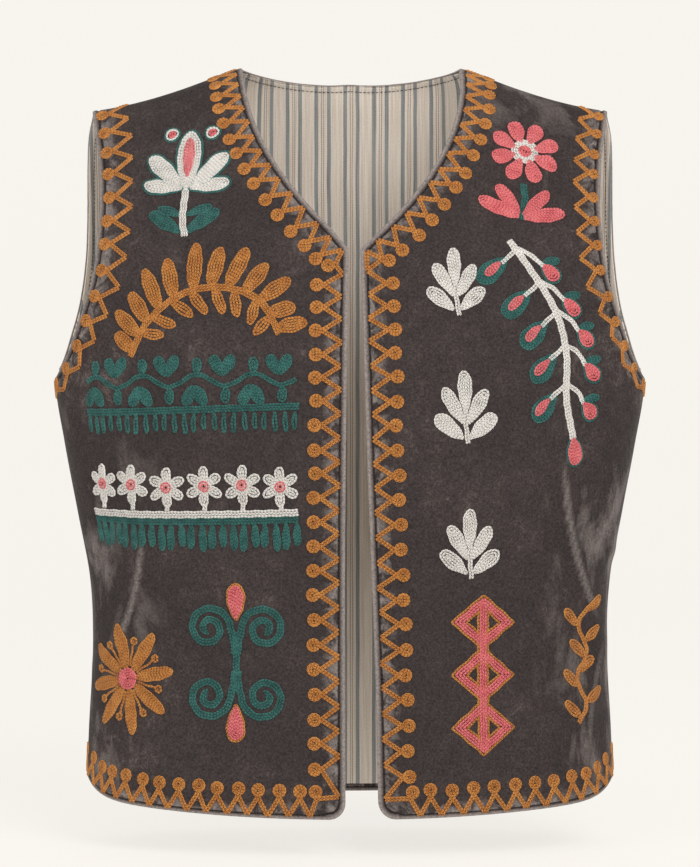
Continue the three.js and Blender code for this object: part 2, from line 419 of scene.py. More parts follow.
def velvet_finish():
    """Crushed nap at four sizes over a dark ground, a worn rim, a pale broken band inside the stitching, painted
    sheen and painted shade.
    """
    material, tree, shader = nodes_of("crushed_velvet")
    place = tree.nodes.new("ShaderNodeTexCoord").outputs["Object"]
    edge = marked(tree, "from_edge")
    broad = noise(tree, place, 15, 3, 0.55, 0.6)
    patch = noise(tree, place, 75, 5, 0.72, 0.7)
    fleck = noise(tree, place, 620, 3, 0.75)
    nap = noise(tree, place, 2600, 2)
    mottle = sums(tree, "MULTIPLY_ADD", broad, 0.5, times(tree, patch, 0.5))
    ground = graded(tree, mottle,
                    (0.36, linear(28, 22, 23)),
                    (0.48, linear(35, 28, 29)),
                    (0.58, linear(47, 39, 39)),
                    (0.70, linear(88, 78, 76)))
    flecked = mixed(tree, "MULTIPLY", 0.9, ground, levels(tree, fleck, (0.34, 0.42), (0.52, 1.0), (0.68, 1.9)))
    # The rim is worn pale along the fold, and brightest at the very edge as painted sheen on its rounded turn.
    rim = times(tree, levels(tree, edge, (0.0, 1.0), (0.05, 0.9), (0.09, 0.5), (0.14, 0.1)),
               levels(tree, fleck, (0.3, 0.45), (0.6, 1.0)))
    band = levels(tree, edge, (0.15, 0.0), (0.19, 1.0), (0.34, 0.8), (0.66, 0.0))
    broken = levels(tree, patch, (0.41, 0.0), (0.58, 1.0))
    inner = times(tree, band, times(tree, broken, levels(tree, fleck, (0.3, 0.4), (0.65, 1.0))))
    drawn = tree.nodes.new("ShaderNodeVectorMath")
    drawn.operation = "MULTIPLY"
    drawn.inputs[1].default_value = (1.0, 1.0, 0.45)
    tree.links.new(place, drawn.inputs[0])
    cloud = noise(tree, drawn.outputs[0], 42, 4, 0.62, 0.35)
    # Painted sheen along the tops of the sharper fold ridges.
    streaks = times(tree, marked(tree, "sheen_and_wear"), levels(tree, fleck, (0.3, 0.35), (0.62, 1.0)))
    # Painted sheen low on the sides where the cloth turns away to the side seams, and paler nap along the shoulders.
    side_sheen_and_shoulder_cloud = times(tree, marked(tree, "worn"), levels(tree, cloud, (0.44, 0.0), (0.68, 0.7)))
    clouded = times(tree, side_sheen_and_shoulder_cloud, levels(tree, fleck, (0.3, 0.5), (0.62, 1.0)))
    # Worn nap and painted sheen together: the rim, the band inside the stitching, the ridges and the sides.
    sheen_and_wear = sums(tree, "MAXIMUM", sums(tree, "MAXIMUM", rim, times(tree, inner, 0.8)),
                  sums(tree, "MAXIMUM", streaks, clouded))
    pale = mixed(tree, "MIX", sheen_and_wear, flecked, linear(152, 142, 138))
    pile = mixed(tree, "MULTIPLY", 0.5, pale, levels(tree, nap, (0.25, 0.6), (0.75, 1.4)))
    # Painted shade: a dark line along the stitched groove.
    groove_shade = levels(tree, edge, (0.12, 1.0), (0.148, 0.42), (0.160, 0.42), (0.19, 1.0))
    groove_shaded = mixed(tree, "MULTIPLY", 1.0, pile, groove_shade)
    tree.links.new(groove_shaded, shader.inputs["Base Color"])
    shader.inputs["Roughness"].default_value = 0.92
    shader.inputs["Specular IOR Level"].default_value = 0.1
    shader.inputs["Sheen Weight"].default_value = 0.16
    shader.inputs["Sheen Roughness"].default_value = 0.22
    shader.inputs["Sheen Tint"].default_value = (0.96, 0.90, 0.88, 1)
    height = sums(tree, "MULTIPLY_ADD", patch, 1.0, sums(tree, "MULTIPLY_ADD", fleck, 0.4,
                                                       times(tree, nap, 0.12)))
    bumped(tree, shader, height, 0.0014, 0.8)
    return material


def side_sheen_and_shoulders(x, z):
    """Where the nap is painted paler: low down on the sides most of all, a painted sheen where the cloth turns away,
    and along the shoulders.
    """
    sides = np.clip((np.abs(x) - 112) / 80, 0, 1) * np.clip((-215 - z) / 110, 0.3, 1)
    return np.maximum(sides, 0.6 * np.clip((z + 78) / 60, 0, 1))


def nap_marks(side, base, away):
    """What the velvet's finish needs at each point: its distance from the edge, over 30 mm, the painted sheen on the
    ridges, and the painted sheen on the sides with the paler shoulders.
    """
    x, z = base[..., 0], base[..., 2]
    return {"from_edge": np.minimum(away / 30, 1), "sheen_and_wear": ridge_sheen(side, x, z), "worn": side_sheen_and_shoulders(x, z)}


velvet = velvet_finish()
VELVET_WALL = 1.8
CORNER_STEPS = np.array([0, 0.25, 0.6, 1.1, 1.9, 2.9, 4.0, 5.2, 6.6, 8.2, 10.0, 12.0])


FRONT_COLUMNS = 57
FRONT_ROWS = {"skirt": 92, "yoke": 84}
BACK_COLUMNS = 94


def front_rows():
    """The rings of a front's rows: close in the hem's edge and corner, then even, and close up the yoke."""
    hem = np.unique(np.concatenate((EDGE_STEPS, CORNER_STEPS, [13.5])))
    skirt = np.linspace(hem[-1], SKIRT, FRONT_ROWS["skirt"])[1:]
    yoke = ring_of(np.linspace(0, 1, FRONT_ROWS["yoke"])[1:])
    near_v = yoke[np.argmin(np.abs(yoke - V_RING))]
    yoke = np.where(yoke == near_v, V_RING, yoke)
    return np.concatenate((hem / SKIRT - 1, skirt / SKIRT - 1, yoke))


def finished_line(side_name):
    """The line of a front's finished edges on the cloth: armhole, V neck, front edge, hem corner and hem."""
    w = ring_of(np.linspace(-1, 1, 2600))
    h, t = front_place(side_name, w, 0)
    inner = cloth("front", h, t)
    start = inner_turn(side_name, np.array(-1.0))
    t_hem = np.linspace(start, SIGN[side_name] * QUARTER_TURN, 900)
    hem = cloth("front", lifted(np.full_like(t_hem, -1), t_hem), t_hem)
    w_arm = ring_of(np.linspace(0, 1, 900))
    h, t = front_place(side_name, w_arm, 1)
    arm = cloth("front", h, t)
    return np.concatenate((inner, arm)), hem


for side in ("right", "left"):
    w = front_rows()
    even = np.linspace(0, 1, 60)
    h, t = front_place(side, w[:, None], even[None])
    length = np.linalg.norm(np.diff(figure("front", h, t), axis=1), axis=-1).sum(1)
    slant = np.gradient(figure("front", *front_place(side, w, 0))[:, 0], w * 250)
    slant = np.where(w > V_RING, 1 / np.cos(np.arctan(np.abs(slant))), 1.0)
    slant = np.convolve(np.pad(slant, 2, mode="edge"), np.ones(5) / 5, mode="valid")
    columns = len(steps_between(200.0, FRONT_COLUMNS))
    across = np.empty((len(w), columns))
    for i, (run, lean) in enumerate(zip(length, slant)):
        stretched = steps_between(run / lean, FRONT_COLUMNS) * lean
        far = steps_between(run, FRONT_COLUMNS)
        blend_over = np.linspace(0, 1, columns)
        across[i] = (stretched * (1 - blend_over) + far * blend_over) / run
    h, t = front_place(side, w[:, None], across)
    base = cloth("front", h, t)
    away = distance_to(base, *finished_line(side))
    face = cloth("front", h, t, groove(away) - rounded(away))
    inside = cloth("front", h, t, -VELVET_WALL + rounded(away) * 0.6)
    piece = shell(f"velvet_front_{side}", face, inside, velvet, side == "right",
                  marks=nap_marks("front", base, away))
    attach(piece, "root")
    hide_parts(f"front_{side}")

# ---- The velvet back -------------------------------------------------------------------------------------
# One piece of the same velvet from side seam to side seam, with a shallow round neck and two armholes.
# It meets the fronts at the shoulder and side seams, and only its neck, armholes and hem are turned edges.
NECK_DROP = 0.085


def back_place(w, across):
    """A place on the back: across runs from -1 on the right edge to 1 on the left. The top dips at the neck."""
    edge = armhole_turn("back", w)
    right, left = NECK_TURNS
    t = edge * across
    part = np.clip(np.where(t < 0, t / right, t / left), 0, 1)
    hollow = NECK_DROP * (1 - part ** 2)
    return lifted(height_of(np.where(w > 0, w * (1 - hollow), w)), t), t


def back_line():
    """The back's finished edges: the hem, the two armholes and the neck between the shoulder seams."""
    across = np.linspace(-1, 1, 1600)
    h, t = back_place(np.full_like(across, -1.0), across)
    hem = cloth("back", h, t)
    lines = []
    w = ring_of(np.linspace(0, 1, 900))
    for end in (-1, 1):
        h, t = back_place(w, np.full_like(w, end))
        lines.append(cloth("back", h, t))
    neck = np.linspace(*NECK_TURNS, 700) / armhole_turn("back", np.array(1.0))
    h, t = back_place(np.ones_like(neck), neck)
    lines.append(cloth("back", h, t))
    return np.concatenate(lines), hem


hem = np.concatenate((EDGE_STEPS, [10, 12.5]))
yoke_h = 1 - (1 - np.linspace(0, 1, 62)[1:]) ** 1.25
w = np.concatenate((hem / SKIRT - 1, np.linspace(hem[-1], SKIRT, 74)[1:] / SKIRT - 1, ring_of(yoke_h)))
spacing = steps_between(400.0, BACK_COLUMNS) / 200 - 1
h, t = back_place(w[:, None], spacing[None])
base = cloth("back", h, t)
away = distance_to(base, *back_line())
face = cloth("back", h, t, groove(away) - rounded(away))
inside = cloth("back", h, t, -VELVET_WALL + rounded(away) * 0.6)
piece = shell("velvet_back", face, inside, velvet, True, marks=nap_marks("back", base, away))
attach(piece, "root")
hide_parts("back")

# ---- The striped lining ----------------------------------------------------------------------------------
# Plain-weave beige cotton with woven stripes along its length: two blue-grey bands with a fine dotted brown
# line between them. One lining backs each velvet piece and is caught down by the topstitching at the edges.
STRIPE = {"repeat": 22.3, "band_at": 4.85, "band_half": 1.45, "line_at": 0.8, "line_half": 0.34}


def striped_finish():
    """Stripes measured in millimetres across the cloth, thread by thread unevenness, and a fine plain weave."""
    material, tree, shader = nodes_of("striped_cotton")
    uv = tree.nodes.new("ShaderNodeUVMap")
    uv.uv_map = "cloth"
    split = tree.nodes.new("ShaderNodeSeparateXYZ")
    tree.links.new(uv.outputs["UV"], split.inputs["Vector"])
    across, along = split.outputs["X"], split.outputs["Y"]
    wobble = noise(tree, uv.outputs["UV"], 0.02, 2)
    across = sums(tree, "SUBTRACT", sums(tree, "MULTIPLY_ADD", wobble, 1.2, across), 1.7)
    turned = sums(tree, "WRAP", across, STRIPE["repeat"] / 2, -STRIPE["repeat"] / 2)
    reach = sums(tree, "ABSOLUTE", turned)
    frayed = sums(tree, "MULTIPLY_ADD", noise(tree, uv.outputs["UV"], 2.2, 2), 0.5, -0.25)
    off_band = sums(tree, "ADD", sums(tree, "ABSOLUTE", sums(tree, "SUBTRACT", reach, STRIPE["band_at"])), frayed)
    band = sums(tree, "LESS_THAN", off_band, STRIPE["band_half"])
    dotted = sums(tree, "MULTIPLY_ADD", sums(tree, "SINE", times(tree, along, 3.4)), 0.25, 0.7)
    off_line = sums(tree, "ABSOLUTE", sums(tree, "SUBTRACT", reach, STRIPE["line_at"]))
    line = times(tree, sums(tree, "LESS_THAN", off_line, STRIPE["line_half"]), dotted)
    slub = noise(tree, uv.outputs["UV"], 0.9, 3, 0.7)
    warps = tree.nodes.new("ShaderNodeCombineXYZ")
    tree.links.new(times(tree, across, 0.8), warps.inputs["X"])
    tree.links.new(times(tree, along, 0.012), warps.inputs["Y"])
    slub = sums(tree, "MULTIPLY_ADD", noise(tree, warps.outputs["Vector"], 1.0, 3, 0.7), 0.65,
                times(tree, slub, 0.35))
    ground = graded(tree, slub, (0.36, linear(214, 200, 186)), (0.62, linear(248, 239, 228)))
    blue = graded(tree, slub, (0.36, linear(112, 120, 126)), (0.62, linear(164, 168, 169)))
    colour = mixed(tree, "MIX", times(tree, band, 0.92), ground, blue)
    colour = mixed(tree, "MIX", times(tree, line, 0.8), colour, linear(120, 100, 92))
    warp = sums(tree, "SINE", times(tree, across, 14.0))
    weft = sums(tree, "SINE", times(tree, along, 12.0))
    weave = times(tree, warp, weft)
    shade = sums(tree, "MULTIPLY_ADD", weave, 0.07, 0.96)
    worn = mixed(tree, "MULTIPLY", 1.0, colour, graded(tree, shade, (0.0, (0.0,) * 3), (1.0, (1.0,) * 3)))
    tree.links.new(worn, shader.inputs["Base Color"])
    shader.inputs["Roughness"].default_value = 0.88
    shader.inputs["Specular IOR Level"].default_value = 0.2
    shader.inputs["Sheen Weight"].default_value = 0.06
    bumped(tree, shader, sums(tree, "MULTIPLY_ADD", slub, 0.8, weave), 0.00012, 0.6)
    return material


striped_cotton = striped_finish()
LINING_NEAR = -2.1
LINING_WALL = 1.0
HEM_TURNED_UP = 6.0


def cloth_uv(side, h, t):
    """Millimetres across from the centre line, along each row, and millimetres up from the hem."""
    p = figure(side, h, t)
    run = np.linalg.norm(np.diff(p, axis=1), axis=-1)
    u = np.concatenate((np.zeros((len(p), 1)), np.cumsum(run, axis=1)), axis=1)
    for i in range(len(u)):
        to_left = t[i, -1] > t[i, 0]
        if t[i].min() < 0 < t[i].max():
            u[i] -= np.interp(0, np.sort(t[i]), u[i] if to_left else u[i][::-1])
        elif to_left:
            u[i] += p[i, 0, 0]
    rise = np.linalg.norm(np.diff(p[:, p.shape[1] // 2], axis=0), axis=-1)
    v = np.concatenate(([0], np.cumsum(rise)))[:, None] * np.ones_like(u)
    return np.stack((u, v), axis=-1)


def tucked(name, face, h, t, away, flip):
    """One lining piece: a thin wall 2.1 mm under the velvet's face, dented along the topstitching."""
    dent = 0.3 * np.exp(-(((away - STITCHED_IN) / 0.9) ** 2)) + 0.25 * np.exp(-((away / 0.8) ** 2))
    near = cloth(face, h, t, LINING_NEAR)
    far = cloth(face, h, t, LINING_NEAR - LINING_WALL + dent)
    piece = shell(name, near, far, striped_cotton, flip, uv=cloth_uv(face, h, t))
    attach(piece, "root")
    return piece


def lining_rows(turn_up, count):
    """Rings from the top of the turned-up hem to the shoulder."""
    low = turn_up + np.array([0, 0.5, 1.2, 2.4])
    skirt = np.linspace(low[-1], SKIRT, count)[1:]
    return np.concatenate((low / SKIRT - 1, skirt / SKIRT - 1, ring_of(np.linspace(0, 1, 44)[1:])))


close_in = np.array([0, 0.5, 1.4, 2.6, 3.6, 4.2, 4.8, 5.6, 7.0])
for side in ("right", "left"):
    w = lining_rows(HEM_TURNED_UP, 40)
    inset = np.concatenate((0.5 + close_in, np.linspace(9, 189, 30), 199.5 - close_in[::-1])) / 200
    h, t = front_place(side, w[:, None], inset[None])
    t = np.where((w[:, None] <= 0) & (inset[None] > 0.99), SIGN[side] * QUARTER_TURN, t)
    away = distance_to(cloth("front", h, t), *(part[::3] for part in finished_line(side)))
    piece = tucked(f"striped_lining_front_{side}", "front", h, t, away, side == "right")
    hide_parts(f"lining_front_{side}")

w = lining_rows(HEM_TURNED_UP, 40)
inset = np.concatenate((0.5 + close_in, np.linspace(9, 391, 56), 399.5 - close_in[::-1])) / 200 - 1
h, t = back_place(w[:, None], inset[None])
t = np.where((w[:, None] <= 0) & (np.abs(inset[None]) > 0.99), np.sign(inset[None]) * QUARTER_TURN, t)
h[-1] = np.where(h[-1] < 0.999, height_of(ring_of(h[-1]) - 0.5 / 240), h[-1])
away = distance_to(cloth("back", h, t), *(part[::3] for part in back_line()))
piece = tucked("striped_lining_back", "back", h, t, away, True)
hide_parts("lining_back")

# ---- Topstitching ----------------------------------------------------------------------------------------
# A row of dark sewing thread 4.6 mm inside every turned edge, through velvet and lining alike. Each stitch is
# a short thread that dips into the pile at both ends, and the same row shows again on the lining.
def settle(face, h, t, target):
    """The place on the bare figure nearest each target, by five steps along its two slopes."""
    for _ in range(5):
        p = figure(face, h, t)
        back_h = np.where(h > 0.99, -1e-3, 1e-3)
        back_t = np.where(t > 0, -1e-3, 1e-3)
        slope_h = (figure(face, h + back_h, t) - p) / back_h[..., None]
        slope_t = (figure(face, h, t + back_t) - p) / back_t[..., None]
        miss = target - p
        a, b, c = (slope_h * slope_h).sum(-1), (slope_h * slope_t).sum(-1), (slope_t * slope_t).sum(-1)
        f, g = (slope_h * miss).sum(-1), (slope_t * miss).sum(-1)
        whole = a * c - b * b + 1e-9
        h = np.clip(h + np.clip((c * f - b * g) / whole, -0.2, 0.2), -1.02, 1.0)
        t = np.clip(t + np.clip((a * g - b * f) / whole, -0.3, 0.3), -QUARTER_TURN, QUARTER_TURN)
    return h, t


class Edge:
    """A finished edge as an even line of places on the figure, with its length and its inward direction.

    stitched is how far inside it the sewing runs, and under is how deep the sewing lies on the inner side.
    """

    def __init__(self, face, h, t, towards, calm, stitched=STITCHED_IN, under=-3.05):
        self.stitched, self.under = stitched, under
        p = figure(face, h, t)
        run = np.concatenate(([0], np.cumsum(np.linalg.norm(np.diff(p, axis=0), axis=1))))
        self.face = face
        self.length = run[-1]
        self.run = np.linspace(0, run[-1], int(run[-1] * 2))
        self.h = np.interp(self.run, run, h)
        self.t = np.interp(self.run, run, t)
        self.point = figure(face, self.h, self.t)
        along = np.gradient(self.point, self.run, axis=0)
        inward = np.cross(outward(face, self.h, self.t), along)
        inward *= np.sign((inward * (np.array(towards) - self.point)).sum(-1).mean())
        wide = int(calm * 2) * 2 + 1
        padded = np.pad(inward, ((wide // 2, wide // 2), (0, 0)), mode="edge")
        soft = np.stack([np.convolve(padded[:, k], np.ones(wide) / wide, mode="valid") for k in range(3)], axis=-1)
        self.inward = soft / np.linalg.norm(soft, axis=-1, keepdims=True)

    def at(self, run, depth):
        """The target at a distance along the edge and a depth inside it, and the place it starts from."""
        pick = np.clip(np.searchsorted(self.run, run), 0, len(self.run) - 1)
        target = self.point[pick] + self.inward[pick] * np.asarray(depth)[..., None]
        return target, self.h[pick], self.t[pick]


def front_edge(side, rounded_corner=False):
    """The neck and front edge of one front, from the hem up to the neck point."""
    w = ring_of(np.linspace(-1, 1, 1500))
    if rounded_corner:
        t = inner_turn(side, w)
    else:
        t = turn_at(w, np.where(w >= V_RING, through(NECK_W, NECK_X[side], w), through(EDGE_W, EDGE_X[side], w)))
    return Edge("front", lifted(height_of(w), t), t, (SIGN[side] * 110, -95, -250), calm=9.0)


def hem_edge(face, side):
    """The hem of one half of the front or the back, from the centre out to the side seam."""
    start = turn_at(np.array(-1.0), EDGE_X[side][0]) if face == "front" else 0.0
    t = np.linspace(start, SIGN[side] * QUARTER_TURN, 800)
    return Edge(face, lifted(np.full_like(t, -1.0), t), t, (SIGN[side] * 90, 0, -250), 3.0, HEM_STITCHED_IN, -1.85)


def armhole_edge(face, side):
    """The armhole's edge on the front or the back, from the side seam up to the shoulder seam."""
    w = ring_of(np.linspace(0.0, 1, 900))
    t = SIGN[side] * armhole_turn(face, w)
    return Edge(face, height_of(w), t, (0, -90 if face == "front" else 80, -200), calm=4.0)


def back_neck_edge():
    """The back neck from the right neck point to the left one."""
    across = np.linspace(*NECK_TURNS, 700) / armhole_turn("back", np.array(1.0))
    h, t = back_place(np.ones_like(across), across)
    return Edge("back", h, t, (0, 84, -200), calm=3.0)


def tube_mesh(name, centre, tangent, normal, sections, uv, material):
    """Closed strips: every row of places carries its own ring of points across, and each strip is capped.

    centre, tangent and normal are strips x places x 3, and sections is strips x places x points x 2, each
    point being a distance to the side and a height, in millimetres.
    """
    strips, places, points = sections.shape[:3]
    beside = np.cross(normal, tangent)
    ring = centre[:, :, None] + beside[:, :, None] * sections[..., :1] + normal[:, :, None] * sections[..., 1:]
    at = np.arange(strips * places * points).reshape(strips, places, points)
    after = np.roll(at, -1, axis=2)
    sides = np.stack((at[:, :-1], after[:, :-1], after[:, 1:], at[:, 1:]), axis=-1).reshape(-1, 4)
    caps = np.concatenate((at[:, 0, ::-1], at[:, -1]))
    return made(name, ring, sides.tolist() + caps.tolist(), material, "thread", uv)


def sewing_finish():
    """Dark sewing thread with its ply showing as slanting lines."""
    material, tree, shader = nodes_of("sewing_thread")
    uv = tree.nodes.new("ShaderNodeUVMap")
    uv.uv_map = "thread"
    wave = tree.nodes.new("ShaderNodeTexWave")
    wave.inputs["Scale"].default_value = 3.0
    wave.bands_direction = "DIAGONAL"
    tree.links.new(uv.outputs["UV"], wave.inputs["Vector"])
    colour = graded(tree, wave.outputs["Fac"], (0.2, linear(30, 26, 25)), (0.8, linear(58, 51, 49)))
    tree.links.new(colour, shader.inputs["Base Color"])
    shader.inputs["Roughness"].default_value = 0.7
    bumped(tree, shader, wave.outputs["Fac"], 0.0001, 0.7)
    return material


sewing_thread = sewing_finish()
STITCH_STEP = 3.1
OUTSIDE_SEWING = -0.75
stitch_lines = {
    "front_right": [front_edge("right", True), hem_edge("front", "right"), armhole_edge("front", "right")],
    "front_left": [front_edge("left", True), hem_edge("front", "left"), armhole_edge("front", "left")],
    "back": [hem_edge("back", "right"), hem_edge("back", "left"), armhole_edge("back", "right"),
             armhole_edge("back", "left"), back_neck_edge()],
}


def sewn_row(edges, lift, first):
    """Stitches along the edges: a centre, its direction and the cloth's normal at five places on each."""
    centres, tangents, normals = [], [], []
    for edge, start in zip(edges, first):
        count = int((edge.length - start) / STITCH_STEP)
        middle = start + (np.arange(count) + 0.5) * STITCH_STEP
        reach = np.linspace(-1.25, 1.25, 5)
        target, h, t = edge.at(middle[:, None] + reach[None], np.full((count, 5), edge.stitched))
        h, t = settle(edge.face, h, t, target)
        normal = outward(edge.face, h, t)
        dip = lift * np.array([-0.3, 0.35, 0.5, 0.35, -0.3])
        base = cloth(edge.face, h, t, OUTSIDE_SEWING if lift > 0 else edge.under) + normal * dip[:, None]
        along = np.gradient(base, axis=1)
        centres.append(base)
        tangents.append(along / np.linalg.norm(along, axis=-1, keepdims=True))
        normals.append(normal)
    return np.concatenate(centres), np.concatenate(tangents), np.concatenate(normals)


turn = np.arange(5) / 5 * 2 * math.pi
for name, edges in stitch_lines.items():
    starts = [CORNER[name[6:]] + 1 if i == 1 and name != "back" else 2.0 for i in range(len(edges))]
    for face_side, lift in (("outside", 1.0), ("inside", -1.0)):
        centre, tangent, normal = sewn_row(edges, lift, starts)
        fat = np.array([0.12, 0.3, 0.34, 0.3, 0.12])
        ring = np.stack((np.cos(turn), np.sin(turn)), axis=-1)
        sections = fat[None, :, None, None] * ring[None, None] * np.ones((len(centre), 1, 1, 1))
        uv = np.stack(np.broadcast_arrays(np.arange(5)[None, :, None] * 0.5, np.arange(5)[None, None] / 5,
                                          np.zeros((len(centre), 1, 1)))[:2], axis=-1)
        piece = tube_mesh(f"topstitching_{name}_{face_side}", centre, tangent, normal, sections, uv, sewing_thread)
        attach(piece, "root")

# ---- The chain-stitched border ---------------------------------------------------------------------------
# A zigzag of ochre cotton thread, two rows of chain stitch wide, runs inside every finished edge. A disc, one
# row wound from its rim to its middle, sits on each inner point, and on the armholes the two change places.
LINK = 2.5
ROW = 1.8


def thread_finish(name, dark, light, deepest):
    """Cotton thread: each link is a loop with a dark eye in its middle and slanting plies over both strands, with
    painted shade in the eye and painted shadow where the rows touch.
    """
    material, tree, shader = nodes_of(name)
    uv = tree.nodes.new("ShaderNodeUVMap")
    uv.uv_map = "thread"
    place = tree.nodes.new("ShaderNodeTexCoord").outputs["Object"]
    split = tree.nodes.new("ShaderNodeSeparateXYZ")
    tree.links.new(uv.outputs["UV"], split.inputs["Vector"])
    link_part = sums(tree, "FRACT", split.outputs["X"])
    along = sums(tree, "DIVIDE", sums(tree, "SUBTRACT", link_part, 0.52), 0.33)
    across = sums(tree, "SUBTRACT", split.outputs["Y"], 0.5)
    eye = sums(tree, "ADD", sums(tree, "POWER", sums(tree, "ABSOLUTE", along), 2.0),
               sums(tree, "POWER", sums(tree, "ABSOLUTE", sums(tree, "DIVIDE", across, 0.2)), 2.0))
    hole = sums(tree, "SUBTRACT", 1.0, sums(tree, "MINIMUM", eye, 1.0))
    mirrored = sums(tree, "ABSOLUTE", across)
    ply = sums(tree, "SINE", sums(tree, "ADD", times(tree, split.outputs["X"], 34.0),
                                  times(tree, mirrored, 26.0)))
    shade = noise(tree, place, 160, 3, 0.6)
    fibre = noise(tree, place, 1700, 2)
    tone = sums(tree, "MULTIPLY_ADD", ply, 0.13, sums(tree, "MULTIPLY_ADD", fibre, 0.35,
                                                     times(tree, shade, 0.65)))
    colour = graded(tree, tone, (0.28, linear(*dark)), (0.72, linear(*light)))
    # Painted shadow along both low edges of each row, where rows touch, and the eye darkened, partly the velvet seen
    # through the loop and partly painted shade.
    row_shadow = times(tree, levels(tree, mirrored, (0.36, 0.0), (0.5, 1.0)), 0.6)
    deep = tuple(float(v) for v in np.array(linear(*dark)) * deepest)
    joined = mixed(tree, "MIX", sums(tree, "MAXIMUM", times(tree, hole, 0.95), row_shadow), colour, deep)
    tree.links.new(joined, shader.inputs["Base Color"])
    shader.inputs["Roughness"].default_value = 0.72
    shader.inputs["Specular IOR Level"].default_value = 0.25
    shader.inputs["Sheen Weight"].default_value = 0.08
    height = sums(tree, "SUBTRACT", times(tree, ply, 0.35), times(tree, hole, 1.2))
    bumped(tree, shader, height, 0.00022, 0.8)
    return material


THREADS = {
    "ochre": thread_finish("ochre_thread", (168, 99, 40), (228, 158, 82), 0.12),
    "white": thread_finish("white_thread", (220, 215, 208), (250, 247, 243), 0.36),
    "teal": thread_finish("teal_thread", (28, 72, 69), (70, 134, 127), 0.1),
    "pink": thread_finish("pink_thread", (214, 94, 102), (252, 142, 144), 0.3),
}
LINK_PHASES = {
    # half width of the loop, height of its strands, height of the valley between them
    "half": np.array([0.66, 0.97, 0.98]),
    "strand": np.array([0.66, 1.0, 0.96]),
    "valley": np.array([0.6, 0.15, 0.22]),
}
LOOP_ACROSS = np.array([0.0, 0.24, 0.5, 0.76, 1.0])


def chain(name, rows, colour, raised=0.0):
    """Chain stitch along rows of cloth points. Each link takes three rings: a narrow join and two wide ones.

    A row is (points, normals) in millimetres. It is cut into whole links, and every link's ring has five
    points: two low edges, two round strands and the valley between. raised lifts it over rows beneath.
    """
    rings, ups, tangs, phases, ends, firsts, uvs = [], [], [], [], [], [], []
    total = 0
    for points, normals in rows:
        step = np.linalg.norm(np.diff(points, axis=0), axis=1)
        run = np.concatenate(([0], np.cumsum(step)))
        links = max(1, int(round(run[-1] / LINK)))
        where = np.linspace(0, run[-1], links * 3 + 1)
        p = np.stack([np.interp(where, run, points[:, k]) for k in range(3)], axis=-1)
        n = np.stack([np.interp(where, run, normals[:, k]) for k in range(3)], axis=-1)
        tang = np.gradient(p, axis=0)
        rings.append(p)
        ups.append(n / np.linalg.norm(n, axis=-1, keepdims=True))
        tangs.append(tang / np.linalg.norm(tang, axis=-1, keepdims=True))
        phases.append(np.arange(len(where)) % 3)
        uvs.append(np.arange(len(where)) / 3 + total * 0.37)
        firsts.append(total)
        total += len(where)
        ends.append(total - 1)
    p, n, tang = np.concatenate(rings), np.concatenate(ups), np.concatenate(tangs)
    phase, along = np.concatenate(phases), np.concatenate(uvs)
    firsts, ends = np.array(firsts), np.array(ends)
    half, strand, valley = (LINK_PHASES[k][phase] for k in ("half", "strand", "valley"))
    low = np.full_like(half, -0.35)
    tip = np.zeros(total, bool)
    tip[firsts] = True
    tip[ends] = True
    half = np.where(tip, half * 0.7, half)
    strand = np.where(tip, 0.4, strand)
    valley = np.where(tip, 0.45, valley)
    side = np.stack((-half, -0.6 * half, 0 * half, 0.6 * half, half), axis=-1)
    high = np.stack((low, strand + raised, valley + raised, strand + raised, low), axis=-1)
    beside = np.cross(tang, n)
    ring = p[:, None] + beside[:, None] * side[..., None] + n[:, None] * high[..., None]
    at = np.arange(total * 5).reshape(total, 5)
    keep = np.ones(total - 1, bool)
    keep[ends[:-1]] = False
    near, far = at[:-1][keep], at[1:][keep]
    quads = np.stack((near, np.roll(near, -1, 1), np.roll(far, -1, 1), far), axis=-1).reshape(-1, 4)[:, ::-1]
    caps = np.concatenate((at[firsts], at[ends][:, ::-1]))
    uv = np.stack(np.broadcast_arrays(along[:, None], LOOP_ACROSS[None]), axis=-1)
    piece = made(name, ring, quads.tolist() + caps.tolist(), THREADS[colour], "thread", uv)
    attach(piece, "root")
    return piece


def laid(face, h, t, target):
    """Targets beside the figure, brought onto the cloth: its points there and its normals."""
    h, t = settle(face, h, t, target)
    return cloth(face, h, t), outward(face, h, t)


def straight_arms(face, a, b, h, t):
    """Two rows side by side from each point a to each point b, as cloth points and normals."""
    part = np.linspace(0, 1, 15)[None, :, None]
    line = a[:, None] * (1 - part) + b[:, None] * part
    up = outward(face, h, t)
    beside = np.cross(b - a, up)
    beside /= np.linalg.norm(beside, axis=-1, keepdims=True)
    rows = []
    for offset in (-ROW / 2, ROW / 2):
        target = line + beside[:, None] * offset
        points, normals = laid(face, h[:, None] + 0 * line[..., 0], t[:, None] + 0 * line[..., 0], target)
        rows += list(zip(points, normals))
    return rows


def wound_discs(face, centre, h, t, radius, start):
    """A disc of one row: a whole round at its rim, then a radius that falls by a row's width each turn."""
    turns = (radius - ROW / 2) / ROW + 0.9
    angle = np.linspace(0, turns * 2 * math.pi, 90)
    r = np.minimum(radius - ROW / 2, radius - ROW / 2 - (angle / (2 * math.pi) - 0.9) * ROW * 0.94)
    r = np.maximum(r, 0.3)
    up = outward(face, h, t)
    side = np.cross(up, np.array([0.0, 0.0, 1.0]))
    side /= np.linalg.norm(side, axis=-1, keepdims=True)
    over = np.cross(side, up)
    spin = angle[None] + start[:, None]
    target = centre[:, None] + (side[:, None] * np.cos(spin)[..., None] + over[:, None] * np.sin(spin)[..., None]) \
        * r[None, :, None]
    points, normals = laid(face, h[:, None] + 0 * spin, t[:, None] + 0 * spin, target)
    return list(zip(points, normals))


